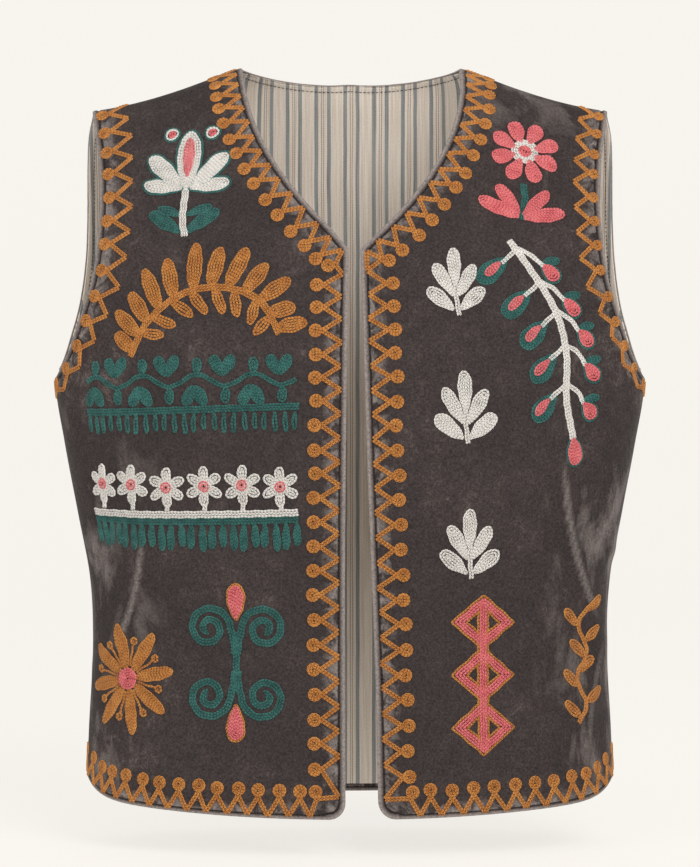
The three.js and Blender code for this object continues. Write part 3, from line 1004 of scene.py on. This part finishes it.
chance = np.random.default_rng(11)
BORDER = {"outer": 4.6, "inner": 17.8, "disc": 22.6, "radius": 5.1}
ARMHOLE_BORDER = {
    "right": {"outer": 27.0, "inner": 12.2, "disc": 7.4, "radius": 5.0, "pitch": (19.5, 17.6),
              "keep": (0.52, 0.6, 0.76, 1.0)},
    "left": {"outer": 21.5, "inner": 10.0, "disc": 6.2, "radius": 4.2, "pitch": (18.4, 16.4),
             "keep": (0.58, 0.62, 0.7, 1.0)},
}
HEM_BORDER = {"outer": 1.9, "inner": 15.0, "disc": 19.8, "radius": 5.1}
# At a hem corner both runs of the border end on a shared inner point with a disc of its own. Sizes are from
# the corner: up the front edge to its last outer and inner points, along the hem to its first outer point,
# and to the shared point and disc, across and up.
HEM_CORNERS = {
    "right": {"up": 16.5, "up_inner": 35.8, "up_next": 45.0, "out": 25.5,
              "point": (20.7, 14.6), "disc": (21.5, 19.8)},
    "left": {"up": 14.6, "up_inner": 29.6, "up_next": 38.6, "out": 30.0,
             "point": (23.3, 14.2), "disc": (25.0, 18.8)},
}
# At the V the two runs of the border meet round an inner point with a disc. Sizes are from the V's point:
# down to the front edge's last outer point, up to the neck's first one, and to the inner point and the disc.
V_CORNERS = {
    "right": {"below": 19.3, "above": 0.0, "point": (12.8, 9.4), "disc": (13.4, 14.6)},
    "left": {"below": 17.0, "above": 13.0, "point": (6.2, 15.4), "disc": (9.0, 20.2)},
}


def border(edge, sizes, stops, first_middle=None, narrow=np.ones_like):
    """Zigzag and discs along an edge. stops are the places along it of the zigzag's disc-free points."""
    stops = stops + chance.normal(0, 0.35, len(stops))
    middles = (stops[1:] + stops[:-1]) / 2 + chance.normal(0, 0.35, len(stops) - 1)
    if first_middle is not None:
        middles[0] = first_middle
    sway = chance.normal(0, 0.45, len(middles))
    keep = narrow(middles) ** 0.3
    outer, _, _ = edge.at(stops, sizes["outer"] * narrow(stops) + chance.normal(0, 0.3, len(stops)))
    inner, h, t = edge.at(middles, sizes["inner"] * keep + sway)
    disc, _, _ = edge.at(middles, sizes["disc"] * keep + sway)
    h, t = settle(edge.face, h, t, inner)
    rows = straight_arms(edge.face, inner, outer[:-1], h, t)
    rows += straight_arms(edge.face, inner, outer[1:], h, t)
    rows += wound_discs(edge.face, disc, h, t, sizes["radius"], chance.uniform(0, 6.28, len(h)))
    return rows, outer


def corner_disc(edge, point, disc, ends):
    """Arms from one inner point to each of the outer points in ends, and the disc that sits on it."""
    inner, h, t = edge.at(*(np.array([v]) for v in point))
    middle, _, _ = edge.at(*(np.array([v]) for v in disc))
    h, t = settle(edge.face, h, t, inner)
    rows = wound_discs(edge.face, middle, h, t, BORDER["radius"], np.array([1.0]))
    for end in ends:
        rows += straight_arms(edge.face, inner, end, h, t)
    return rows


def armhole_rows(face, side):
    """The border round half an armhole, from a point on the side seam up to the shoulder."""
    arm, sizes = armhole_edge(face, side), ARMHOLE_BORDER[side]
    stops = np.concatenate(([0.8, 8.0], even_stops(28.0, arm.length - 1, *sizes["pitch"])))
    return border(arm, sizes, stops, narrow=lambda run: np.interp(run, [0, 28, 57, 101], sizes["keep"]))[0]


def even_stops(first, last, pitch, last_pitch=None):
    """Places from first to last, as near the pitch apart as whole steps allow, growing evenly to the last pitch."""
    last_pitch = last_pitch or pitch
    steps = np.linspace(pitch, last_pitch, max(1, int(round((last - first) / (pitch + last_pitch) * 2))))
    return first + np.concatenate(([0], np.cumsum(steps))) / steps.sum() * (last - first)


for side in ("right", "left"):
    corner, v = HEM_CORNERS[side], V_CORNERS[side]
    edge = front_edge(side)
    v_at = edge.run[np.argmin(np.abs(edge.h - height_of(np.array(V_RING))))]
    low = np.concatenate(([corner["up"]], even_stops(corner["up_next"], v_at - v["below"], 18.4, 17.2)))
    rows, outer = border(edge, BORDER, low, corner["up_inner"])
    neck_rows, neck_outer = border(edge, BORDER, even_stops(v_at + v["above"], edge.length - 1, 15.2, 12.2))
    hem_line = hem_edge("front", side)
    hem_rows, hem_outer = border(hem_line, HEM_BORDER, even_stops(corner["out"], hem_line.length - 0.5, 15.6))
    rows += neck_rows + hem_rows
    rows += corner_disc(edge, corner["point"][::-1], corner["disc"][::-1], (outer[:1], hem_outer[:1]))
    tip, h, t = edge.at(np.array([v_at]), np.array([BORDER["outer"]]))
    (down, deep), (disc_down, disc_deep) = v["point"], v["disc"]
    ends = [outer[-1:], tip] + ([neck_outer[:1]] if v["above"] else [])
    rows += corner_disc(edge, (v_at - down, deep), (v_at - disc_down, disc_deep), ends)
    if v["above"]:
        rows += straight_arms("front", tip, outer[-1:], *settle("front", h, t, tip))
    rows += armhole_rows("front", side)
    chain(f"border_front_{side}", rows, "ochre")

    hem_line = hem_edge("back", side)
    rows = border(hem_line, HEM_BORDER, even_stops(0.0, hem_line.length - 0.5, 15.6))[0]
    rows += armhole_rows("back", side)
    if side == "right":
        neck = back_neck_edge()
        rows += border(neck, BORDER, even_stops(1.0, neck.length - 1, 13.6))[0]
    chain(f"border_back_{side}", rows, "ochre")

# ---- The chain-stitched motifs ---------------------------------------------------------------------------
# Flowers, leaves, a vine, a star, a stack of lozenges and a ram's-horn scroll, worked in rows of chain stitch
# in white, teal, ochre and coral pink cotton. Shapes are filled by rows that follow their own outline inwards.
def through_points(*points):
    """A smooth line through a few points: a Catmull-Rom curve with twelve steps a span."""
    p = np.array(points, float)
    p = np.concatenate((2 * p[:1] - p[1:2], p, 2 * p[-1:] - p[-2:-1]))
    u = np.linspace(0, 1, 12, endpoint=False)[None, :, None]
    a, b, c, d = (p[i:len(p) - 3 + i, None] for i in range(4))
    curve = 0.5 * (2 * b + (c - a) * u + (2 * a - 5 * b + 4 * c - d) * u ** 2 + (3 * b - a - 3 * c + d) * u ** 3)
    return np.concatenate((curve.reshape(-1, 2), p[-2:-1]))


def moved_aside(curve, offset):
    """The curve moved sideways along its own normal."""
    slope = np.gradient(curve, axis=0)
    slope /= np.linalg.norm(slope, axis=1, keepdims=True)
    return curve + np.stack((-slope[:, 1], slope[:, 0]), axis=-1) * offset


def side_by_side(colour, curve, count):
    """Several rows of one colour, centred on a curve."""
    return [(colour, moved_aside(curve, (i - (count - 1) / 2) * ROW)) for i in range(count)]


def petal(x, y, angle, length, width, point=0.55, inset=0.0):
    """A petal's outline from its foot (x, y), kept inset inside its full size.

    Its width follows the sine of the way round times a power of the half turn's sine, so it is fuller at the tip.
    """
    turn = np.linspace(0, 2 * math.pi, 45)
    a = inset + (1 - np.cos(turn)) / 2 * (length - 2 * inset)
    b = (width / 2 - inset) * 1.12 * np.sin(turn) * np.abs(np.sin(turn / 2)) ** point
    c, s = math.cos(math.radians(angle)), math.sin(math.radians(angle))
    return np.stack((x + a * c - b * s, y + a * s + b * c), axis=-1)


def solid_petal(colour, x, y, angle, length, width, point=0.55, edge=None):
    """A petal filled with rows that follow its outline inwards, and one row round it in another colour if asked."""
    count = max(1, int(width / 2 / ROW + 0.4))
    rows = [(colour, petal(x, y, angle, length, width, point, (i + 0.5) * width / 2 / count)) for i in range(count)]
    if edge:
        rows.append((edge, petal(x, y, angle, length, width, point, -0.45 * ROW)))
    return rows


def disc(colour, x, y, radius, hollow=0.0):
    """A disc or ring of rows, one inside the other."""
    turn = np.linspace(0, 2 * math.pi, 41)
    rim = np.stack((np.cos(turn), np.sin(turn)), axis=-1)
    return [(colour, np.array((x, y)) + rim * max(r, 0.5))
            for r in np.arange(radius - ROW / 2, max(hollow, 0.2), -ROW)]


def both_ways(make, *values):
    """The same shape drawn to the right and to the left of the middle line."""
    rows = make(*values)
    return rows + [(colour, curve * (-1, 1)) for colour, curve in rows]


def spoke(angle):
    """The unit vector at an angle in degrees, as its two parts."""
    return math.cos(math.radians(angle)), math.sin(math.radians(angle))


def hanging_drops(count, pitch, sway, length, growth, width):
    """Teal drops that hang in a row: each leans by the sine of sway and is longer by growth's size and beat."""
    more, beat = growth
    rows = []
    for i in range(count):
        rows += solid_petal("teal", -82.5 + pitch * i, -11, -90 + 3 * math.sin(sway * i),
                            length + more * math.sin(beat * i), width, 0.7)
    return rows


def tulip():
    """A white five-petalled flower with teal edges and a pink heart, on a stem with leaves and two berries."""
    rows = side_by_side("white", through_points((1.5, -47), (-1.0, -32), (0, -10)), 3)
    rows += both_ways(solid_petal, "teal", 1, -44, 34, 31, 11.5)
    rows += both_ways(solid_petal, "teal", 1, -30, 18, 21, 8.0)
    rows += both_ways(solid_petal, "white", 2, -9, 8, 31, 12, 0.8, "teal")
    rows += both_ways(solid_petal, "white", 2, -9, 45, 39, 14.5, 0.8, "teal")
    rows += solid_petal("white", 0, -12, 90, 50, 20, 0.75, "teal")
    rows += solid_petal("pink", 0, -1, 90, 33, 9.5, 0.7)
    for x, y in ((-15, 37), (16, 37)):
        rows += disc("white", x, y, 5.2, 3.2) + disc("pink", x, y, 3.0)
        rows += disc("teal", x, y, 6.6, 5.0)
    return rows


def leafy_garland():
    """An arched ochre branch with pointed leaves fanning out above it and shorter ones inside it."""
    spine = through_points((-64, -36), (-48, -12), (-22, 5), (8, 8), (36, -4), (50, -30))
    rows = side_by_side("ochre", spine, 3)
    for i, part in enumerate(np.linspace(0.04, 0.98, 12)):
        at = int(part * (len(spine) - 1))
        slope = spine[min(at + 2, len(spine) - 1)] - spine[max(at - 2, 0)]
        lean = math.degrees(math.atan2(slope[1], slope[0]))
        size = 21 + 13 * math.sin(math.pi * min(part * 1.08, 1)) + (2 if i % 2 else -2)
        rows += solid_petal("ochre", *spine[at], lean + 74, size, 11.0, 0.05)
    for part in np.linspace(0.14, 0.9, 8):
        at = int(part * (len(spine) - 1))
        slope = spine[at + 2] - spine[at - 2]
        lean = math.degrees(math.atan2(slope[1], slope[0]))
        rows += solid_petal("ochre", *spine[at], lean - 68, 17 + 5 * math.sin(math.pi * part), 8.0, 0.05)
    return rows


def vine_band():
    """A waving teal stem with leaves in every bend, over a double row that small drops hang from."""
    x = np.linspace(-84, 84, 160)
    rows = side_by_side("teal", np.stack((x, 11 + 4.2 * np.sin(x / 84 * math.pi * 4)), axis=-1), 2)
    for i in range(8):
        middle = -84 + 21 * (i + 0.5)
        up = 1 if i % 2 == 0 else -1
        rows += solid_petal("teal", middle - 2, 11 - up * 3, -up * 62, 17, 9.5, 0.6)
        rows += solid_petal("teal", middle - 2, 11 - up * 3, -up * 118, 17, 9.5, 0.6)
        rows += solid_petal("teal", middle, 11 + up * 4, up * 90, 13, 8.0, 0.5)
    line = np.linspace(-86, 86, 60)
    rows += side_by_side("teal", np.stack((line, -10 + 0.015 * line), axis=-1), 3)
    return rows + hanging_drops(23, 7.5, 1.9, 16, (1.5, 1.3), 5.4)


def flower_row():
    """Six white six-petalled flowers with pink hearts standing on a white line, and teal drops beneath it."""
    rows = []
    for i in range(6):
        x, y = -71 + 28.6 * i, 15 + 0.8 * math.sin(2.1 * i)
        for k in range(6):
            rows += solid_petal("white", x, y, 90 + 60 * k + 4 * math.sin(3 * i + k), 15.0, 8.6, 0.75)
        rows += disc("pink", x, y, 4.4)
        rows += side_by_side("white", through_points((x, y - 12), (x + 0.4, -3)), 2)
    line = np.linspace(-85, 85, 60)
    rows += side_by_side("white", np.stack((line, -5.5 + 0.012 * line), axis=-1), 3)
    rows += side_by_side("teal", np.stack((line, -10.4 + 0.012 * line), axis=-1), 3)
    return rows + hanging_drops(22, 7.9, 2.7, 20, (2, 1.7), 6.6)


def horn_scroll():
    """Four teal spirals that spring from the ends of an upright spine, with a pink drop above and below it."""
    rows = side_by_side("teal", through_points((0, -22), (0, 0), (0, 22)), 3)
    for sx in (-1, 1):
        for sy in (-1, 1):
            angle = np.linspace(0, 1.72 * 2 * math.pi, 100)
            r = 16.4 - 8.2 * angle / (2 * math.pi)
            spin = (math.pi if sx > 0 else 0) - sx * sy * angle
            spiral = np.stack((sx * 20.5 + r * np.cos(spin), sy * 24.5 + r * np.sin(spin)), axis=-1)
            stem = through_points((sx * 1.2, sy * 6), (sx * 1.8, sy * 15), spiral[0])
            rows += side_by_side("teal", np.concatenate((stem[:-1], spiral)), 3)
    for up in (1, -1):
        rows += solid_petal("pink", 0, 31 * up, 90 * up, 25, 13, 0.9, "ochre")
    return rows


def star():
    """An eight-rayed ochre star with fine knobbed rays between and a pink disc in its middle."""
    rows = []
    for k in range(8):
        c, s = spoke(45 * k + 10)
        rows += solid_petal("ochre", 7 * c, 7 * s, 45 * k + 10, 34, 9.5, 0.1)
        c, s = spoke(45 * k + 32.5)
        rows += side_by_side("ochre", through_points((9 * c, 9 * s), (17 * c, 17 * s), (26 * c, 26 * s)), 1)
        rows += disc("ochre", 28.5 * c, 28.5 * s, 3.2)
    rows += disc("pink", 0, 0, 8.0)
    return rows


def rosette():
    """A pink eight-petalled flower round a white ring, on a short teal stem with four pink leaves."""
    rows = []
    for k in range(8):
        c, s = spoke(45 * k + 22)
        rows += solid_petal("pink", 7 * c, 20 + 7 * s, 45 * k + 22, 19.5, 13.4, 0.9)
    rows += disc("white", 0, 20, 10.2, 5.2) + disc("pink", 0, 20, 5.0)
    rows += side_by_side("teal", through_points((0, -7), (2, -20), (0, -36)), 3)
    rows += both_ways(solid_petal, "pink", 1, -35, 18, 34, 12, 0.6)
    rows += both_ways(solid_petal, "pink", 1, -33, 50, 29, 11, 0.6)
    return rows


def bud_branch():
    """A white branch in a long bend, with teal leaves that hold a pink middle and pink buds on short stalks."""
    spine = through_points((-24, 88), (-9, 58), (3, 30), (7, 0), (4, -34), (9, -64))
    rows = []
    for i, part in enumerate((0.08, 0.25, 0.42, 0.59, 0.76)):
        x, y = spine[int(part * (len(spine) - 1))]
        foot = (x - 8, y - 3)
        rows += side_by_side("white", through_points((x, y + 3), (x - 4, y), foot, (x - 14, y - 7)), 2)
        rows += solid_petal("teal", foot[0], foot[1], 212 + 3 * i, 31 - i, 17.5, 0.8)
        rows += solid_petal("pink", foot[0] - 6, foot[1] - 3, 212 + 3 * i, 17, 8.0, 0.8)
        tip = (x + 18 - i, y - 13)
        rows += side_by_side("white", through_points((x, y + 3), (x + 9, y - 3), tip), 2)
        rows += solid_petal("pink", tip[0] - 1, tip[1] + 2, -52, 17, 12.5, 0.9, "teal")
        rows += solid_petal("teal", tip[0] - 1, tip[1] + 3, 4, 15, 7, 0.6)
    rows += side_by_side("white", spine, 3)
    rows += solid_petal("pink", 9, -62, -84, 22, 14, 0.9, "teal")
    return rows


def leaf_sprig(size=1.0):
    """A white sprig of five round-tipped leaves that meet on a short double stem."""
    rows = []
    for x, y, angle, length, width in ((-0.4, -22, 141, 26, 12.6), (2.4, -22, 42, 25.5, 12.4),
                                       (-0.6, -12, 120, 29, 11.2), (1.8, -12, 62, 27.5, 11.2),
                                       (0.4, -5, 92, 30, 11.4)):
        rows += solid_petal("white", x * size, y * size, angle, length * size, width * size, 0.8)
    rows += side_by_side("white", through_points((0.6, -2), (0.6, -12), (2.2, -26)), 2)
    return rows


def lozenge_stack():
    """Three pink lozenges one on another with open middles, all edged in ochre, and a pink bar down the middle."""
    rows = []
    part = np.linspace(0, 1, 14)[:, None]
    corners = np.array([(0, 21), (24.5, 0), (0, -21), (-24.5, 0), (0, 21)], float)
    outline = np.concatenate([a + (b - a) * part for a, b in zip(corners[:-1], corners[1:])])
    per_row = ROW * math.hypot(1 / 24.5, 1 / 21)
    for k in (-1, 0, 1):
        for i, colour in enumerate(("ochre", "pink", "pink", "pink", "ochre")):
            rows.append((colour, outline * (1 - (0.5 + i) * per_row) + (0, 38 * k)))
    for i in range(-2, 3):
        colour = "ochre" if abs(i) == 2 else "pink"
        rows += side_by_side(colour, through_points((i * ROW, 55 - abs(i)), (i * ROW, 0), (i * ROW, abs(i) - 55)), 1)
    return rows


def leafy_tendril():
    """A waving ochre stem with leaves set by turns on either side."""
    y = np.linspace(-43, 43, 90)
    rows = side_by_side("ochre", np.stack((4.6 * np.sin(y / 43 * math.pi * 2.2), y), axis=-1), 2)
    for i in range(8):
        foot = -39 + 11.2 * i
        side = 1 if i % 2 else -1
        rows += solid_petal("ochre", 4.6 * math.sin(foot / 43 * math.pi * 2.2), foot, 90 - side * 54, 20, 8.6, 0.3)
    return rows


def place_of(x, z):
    """The place on the front at x and z: its ring from the height there, and its turn from that ring's width."""
    seam = through(SHOULDER_X, SHOULDER_Z, np.array(abs(float(x))))
    w = np.array((z + UNDERARM) / (seam + UNDERARM) if z > -UNDERARM else (z + UNDERARM) / SKIRT)
    return height_of(w), turn_at(w, np.array(float(x)))


def worked(rows, x, z, tilt=0.0):
    """A motif's rows laid flat against the front at (x, z), then brought onto the cloth all at once."""
    h, t = place_of(x, z)
    middle = figure("front", h, t)
    up = outward("front", h, t)
    right = np.cross(np.array([0.0, 0.0, 1.0]), up)
    right /= np.linalg.norm(right)
    over = np.cross(up, right)
    c, s = spoke(tilt)
    lengths = [len(curve) for _, curve in rows]
    flat = np.concatenate([curve for _, curve in rows])
    flat = flat + 0.25 * np.stack((np.sin(flat[:, 1] * 0.7 + x), np.sin(flat[:, 0] * 0.6 + z)), axis=-1)
    flat = flat @ np.array([[c, s], [-s, c]])
    target = middle + flat[:, :1] * right + flat[:, 1:] * over
    points, normals = laid("front", np.full(len(flat), float(h)), np.full(len(flat), float(t)), target)
    cuts = np.cumsum(lengths)[:-1]
    return [(colour, piece) for (colour, _), piece in
            zip(rows, zip(np.split(points, cuts), np.split(normals, cuts)))]


MOTIFS = {
    "right": [
        # rows, x, z, tilt
        (tulip(), -119, -86, 2),
        (leafy_garland(), -101, -176, 5),
        (vine_band(), -120, -246, 1),
        (flower_row(), -119, -326, 0),
        (horn_scroll(), -82, -438, 0),
        (star(), -163, -452, 0),
    ],
    "left": [
        (rosette(), 127, -84, -10),
        (bud_branch(), 150, -215, 5),
        (leaf_sprig(), 75.5, -163, 0),
        (leaf_sprig(1.06), 82.5, -254, 0),
        (leaf_sprig(1.02), 86, -352, 0),
        (lozenge_stack(), 96, -447, 0),
        (leafy_tendril(), 170, -442, -4),
    ],
}
for side, motifs in MOTIFS.items():
    by_colour = {}
    for rows, x, z, tilt in motifs:
        for colour, row in worked(rows, x, z, tilt):
            by_colour.setdefault(colour, []).append(row)
    for colour, rows in by_colour.items():
        chain(f"motifs_{side}_{colour}", rows, colour, {"white": 0.35, "pink": 0.7}.get(colour, 0.0))

# ---- Floor, light and camera -----------------------------------------------------------------------------
# The waistcoat hangs as it is worn, a little above a plain pale floor that curves up behind it into a wall,
# under one large soft light from the front and above, with the room's even light all round.
FLOOR_Z = -0.578
sweep_y = np.array([-6, -4, -2, -0.5, 0.5, 2, 3.4, 4.2, 4.6, 4.95, 5.2, 5.35, 5.4, 5.4, 5.4])
sweep_z = np.array([0, 0, 0, 0, 0, 0, 0, 0.02, 0.09, 0.24, 0.48, 0.8, 1.2, 2.6, 5.0]) + FLOOR_Z
sweep_x = np.linspace(-6, 6, 9)
grid = np.stack(np.broadcast_arrays(sweep_x[None], sweep_y[:, None], sweep_z[:, None]), axis=-1)
at = np.arange(grid.shape[0] * grid.shape[1]).reshape(grid.shape[:2])
faces = np.stack((at[:-1, :-1], at[:-1, 1:], at[1:, 1:], at[1:, :-1]), axis=-1).reshape(-1, 4)
material, tree, shader = nodes_of("pale_floor")
shader.inputs["Base Color"].default_value = (*linear(132, 130, 127), 1)
shader.inputs["Roughness"].default_value = 0.9
shader.inputs["Specular IOR Level"].default_value = 0.0
shader.inputs["Emission Color"].default_value = (*linear(247, 244, 239), 1)
shader.inputs["Emission Strength"].default_value = 0.795
floor = made("floor", grid / MM, faces.tolist(), material)

room = bpy.data.worlds.new("room")
room.use_nodes = True
room.node_tree.nodes["Background"].inputs["Color"].default_value = (*linear(247, 245, 241), 1)
room.node_tree.nodes["Background"].inputs["Strength"].default_value = 0.75
bpy.context.scene.world = room


def soft_light(name, place, aim, size, power):
    """A square area light at place, turned to face aim."""
    lamp = bpy.data.lights.new(name, "AREA")
    lamp.shape = "SQUARE"
    lamp.size = size
    lamp.energy = power
    lamp.color = (1.0, 0.985, 0.96)
    holder = bpy.data.objects.new(name, lamp)
    away = np.array(aim) - np.array(place)
    tip = math.acos(-away[2] / np.linalg.norm(away))
    holder.rotation_euler = (tip, 0, math.atan2(away[1], away[0]) - QUARTER_TURN)
    holder.location = place
    bpy.context.scene.collection.objects.link(holder)


soft_light("key_light", (0.9, -2.0, 1.1), (0, 0, -0.25), 1.3, 34)
soft_light("fill_light", (-1.5, -1.8, 0.2), (0, 0, -0.3), 1.6, 14)

camera = bpy.data.cameras.new("camera")
camera.sensor_fit = "HORIZONTAL"
camera.sensor_width = 36.0
camera.lens = 155.5
holder = bpy.data.objects.new("camera", camera)
holder.location = (0, -2.261, -0.2729)
holder.rotation_euler = (QUARTER_TURN, 0, 0)
bpy.context.scene.collection.objects.link(holder)
bpy.context.scene.camera = holder
bpy.context.scene.view_settings.view_transform = "Standard"
